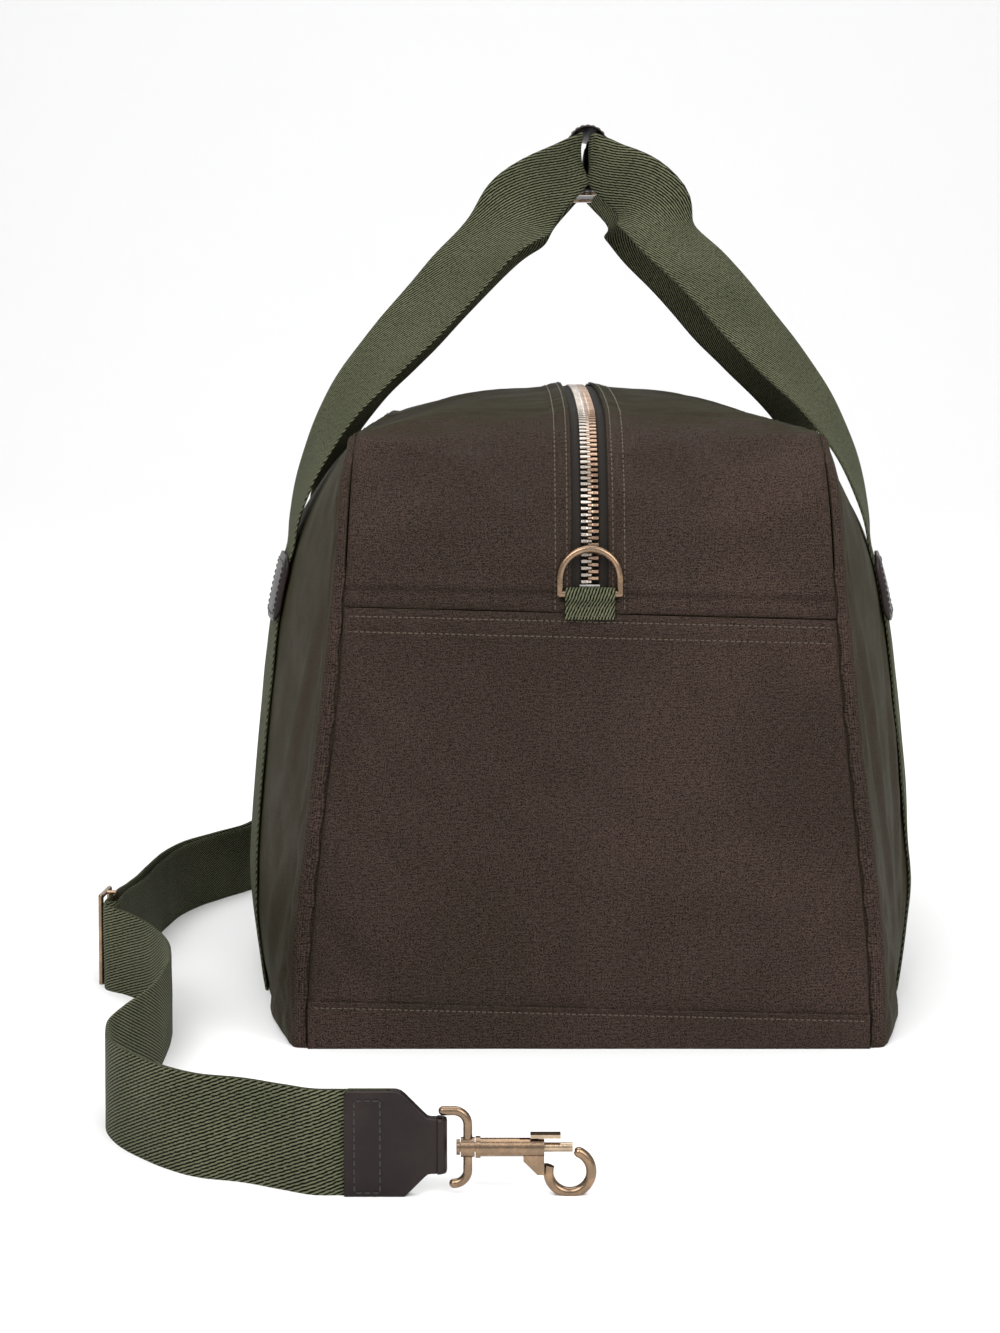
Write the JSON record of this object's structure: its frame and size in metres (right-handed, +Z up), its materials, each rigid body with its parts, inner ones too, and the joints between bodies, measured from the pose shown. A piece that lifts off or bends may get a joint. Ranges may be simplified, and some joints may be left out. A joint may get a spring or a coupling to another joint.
{
  "type": "weekender bag",
  "caption": "Soft waxed-canvas weekender bag with a zipped top, two webbing handles joined by a leather grip that snaps shut, end rings and a detachable shoulder strap.",
  "frame": {"origin": "centre of the bag's base on the floor", "axes": "+Z up, +Y along the bag from its near end (where the strap's free hook lies) to its far end, +X to the right seen from the near end"},
  "size_m": [0.4704, 0.817, 0.4931],
  "materials": {
    "canvas": "waxed cotton canvas, fine weave, dark brown",
    "lining": "plain cotton lining",
    "board": "stiff plastic board",
    "zip_tape": "herringbone zip tape",
    "zip_teeth": "metal zip teeth, copper and silver tones",
    "zip_stop": "bright metal stop",
    "antique_brass": "antique brass, polished and dark",
    "snap_metal": "bright metal snap",
    "bolt_steel": "bright steel",
    "webbing": "olive cotton webbing, diagonal twill",
    "leather": "smooth dark brown leather"
  },
  "bodies": {
    "bag": {"base_board": "board", "base_panel": "canvas", "end_panel_far": "canvas", "end_panel_near": "canvas", "handle_left": "webbing", "handle_right": "webbing", "handle_tab_left_far": "leather", "handle_tab_left_near": "leather", "handle_tab_right_far": "leather", "handle_tab_right_near": "leather", "lining": "lining", "ring_tab_far": "webbing", "ring_tab_near": "webbing", "shoulder_webbing": "webbing", "side_panel_left": "canvas", "side_panel_right": "canvas", "side_webbing_left_far": "webbing", "side_webbing_left_near": "webbing", "side_webbing_right_far": "webbing", "side_webbing_right_near": "webbing", "square_ring": "antique_brass", "strap_end_far": "leather", "strap_end_near": "leather", "top_panel_left": "canvas", "top_panel_right": "canvas", "zip_chain_left": "zip_teeth", "zip_chain_right": "zip_teeth", "zip_stop_far": "zip_stop", "zip_stop_near": "zip_stop", "zip_tape_left": "zip_tape", "zip_tape_right": "zip_tape"},
    "slider_near": {"zip_slider_near": "antique_brass"},
    "pull_near": {"zip_pull_near": "antique_brass"},
    "slider_far": {"zip_slider_far": "antique_brass"},
    "pull_far": {"zip_pull_far": "antique_brass"},
    "ring_near": {"d_ring_near": "antique_brass"},
    "ring_far": {"d_ring_far": "antique_brass"},
    "grip": {"grip_wrap": "leather", "snap_studs": "snap_metal"},
    "flap": {"grip_flap": "leather", "snap_caps": "snap_metal"},
    "buckle": {"strap_slider": "antique_brass"},
    "loop_near": {"hook_loop_near": "antique_brass"},
    "hook_near": {"hook_body_near": "antique_brass", "bolt_spring_near": "bolt_steel"},
    "bolt_near": {"hook_bolt_near": "bolt_steel"},
    "loop_far": {"hook_loop_far": "antique_brass"},
    "hook_far": {"hook_body_far": "antique_brass", "bolt_spring_far": "bolt_steel"},
    "bolt_far": {"hook_bolt_far": "bolt_steel"}
  },
  "joints": [
    {"name": "zip_open_near", "type": "hinge", "parent": "bag", "child": "slider_near", "pos_m": [0, 0, -1.4565], "axis": [1, 0, 0], "range_deg": [0, 11.34]},
    {"name": "pull_lift_near", "type": "hinge", "parent": "slider_near", "child": "pull_near", "pos_m": [0, 0.18269, 0.33616], "axis": [-1, 0, 0], "range_deg": [0, 80]},
    {"name": "zip_open_far", "type": "hinge", "parent": "bag", "child": "slider_far", "pos_m": [0, 0.18105, 0.255], "axis": [-1, 0, 0], "range_deg": [0, 60]},
    {"name": "pull_lift_far", "type": "hinge", "parent": "slider_far", "child": "pull_far", "pos_m": [0, 0.19695, 0.33432], "axis": [1, 0, 0], "range_deg": [0, 80]},
    {"name": "d_ring_fall_near", "type": "hinge", "parent": "bag", "child": "ring_near", "pos_m": [0, -0.26346, 0.2396], "axis": [1, 0, 0], "range_deg": [0, 175]},
    {"name": "d_ring_swing_far", "type": "hinge", "parent": "bag", "child": "ring_far", "pos_m": [0, 0.26346, 0.2396], "axis": [1, 0, 0], "range_deg": [-4, 3]},
    {"name": "grip_drop", "type": "slide", "parent": "bag", "child": "grip", "axis": [0, 0, -1], "range_m": [0, 0.098], "deforming": ["handle_left", "handle_right"]},
    {"name": "grip_flap_open", "type": "hinge", "parent": "grip", "child": "flap", "pos_m": [-0.0065, 0, 0.4815], "axis": [0, 1, 0], "range_deg": [0, 100]},
    {"name": "strap_slider_slide", "type": "slide", "parent": "bag", "child": "buckle", "axis": [0.0571, 0.9984, 0], "range_m": [0, 0.025]},
    {"name": "hook_loop_turn_near", "type": "hinge", "parent": "bag", "child": "loop_near", "pos_m": [-0.073, -0.5, 0.023], "axis": [0, 0, 1], "range_deg": [-80, 80]},
    {"name": "hook_swivel_near", "type": "hinge", "parent": "loop_near", "child": "hook_near", "pos_m": [-0.06, -0.5, 0.023], "axis": [1, 0, 0], "continuous": true},
    {"name": "bolt_slide_near", "type": "slide", "parent": "hook_near", "child": "bolt_near", "axis": [-1, 0, 0], "range_m": [0, 0.007], "stiffness_N_per_m": 220, "springref_m": -0.004, "deforming": ["bolt_spring_near"]},
    {"name": "hook_loop_turn_far", "type": "hinge", "parent": "bag", "child": "loop_far", "pos_m": [-0.04548, 0.28549, 0.17289], "axis": [-0.8, 0, 0.6], "range_deg": [0, 3]},
    {"name": "hook_swivel_far", "type": "hinge", "parent": "loop_far", "child": "hook_far", "pos_m": [-0.0377, 0.28471, 0.18327], "axis": [0.5989, -0.0599, 0.7986], "range_deg": [-8, 8]},
    {"name": "bolt_slide_far", "type": "slide", "parent": "hook_far", "child": "bolt_far", "axis": [-0.5989, 0.0599, -0.7986], "range_m": [0, 0.007], "stiffness_N_per_m": 220, "springref_m": -0.004, "deforming": ["bolt_spring_far"]}
  ]
}
